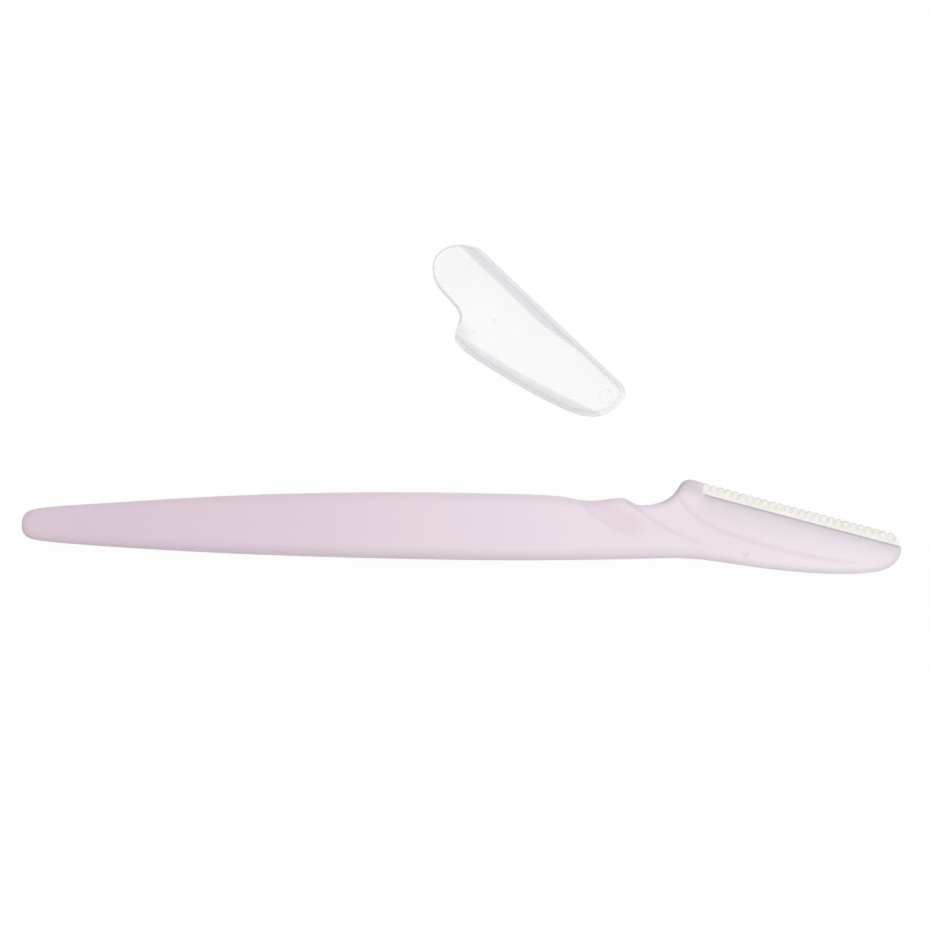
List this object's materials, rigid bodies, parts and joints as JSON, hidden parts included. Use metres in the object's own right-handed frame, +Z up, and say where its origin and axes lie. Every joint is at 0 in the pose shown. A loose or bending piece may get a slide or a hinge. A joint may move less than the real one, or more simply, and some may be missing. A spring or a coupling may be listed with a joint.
{
  "type": "eyebrow razor",
  "caption": "Slim eyebrow razor: moulded plastic handle with a scooped neck, a fixed steel blade behind a slotted folded guard, and a translucent pull-off cap lying beside it.",
  "frame": {"origin": "on the surface that the razor lies on, under the middle of the grip", "axes": "+X from the tail to the tip, +Y towards the side of the cutting edge, +Z up, through the razor's thickness"},
  "size_m": [0.1501, 0.0562, 0.0058],
  "materials": {
    "handle_plastic": "satin pale lavender moulded plastic",
    "blade_steel": "ground stainless strip",
    "guard_steel": "bright rolled stainless foil",
    "cap_plastic": "translucent frosted moulded plastic"
  },
  "bodies": {
    "razor": {"handle": "handle_plastic", "blade": "blade_steel", "blade_guard": "guard_steel"},
    "cap": {"cap": "cap_plastic"}
  },
  "joints": [
    {"name": "cap_lift", "type": "slide", "parent": "razor", "child": "cap", "axis": [0, 0, 1], "range_m": [0, 0.05]}
  ]
}
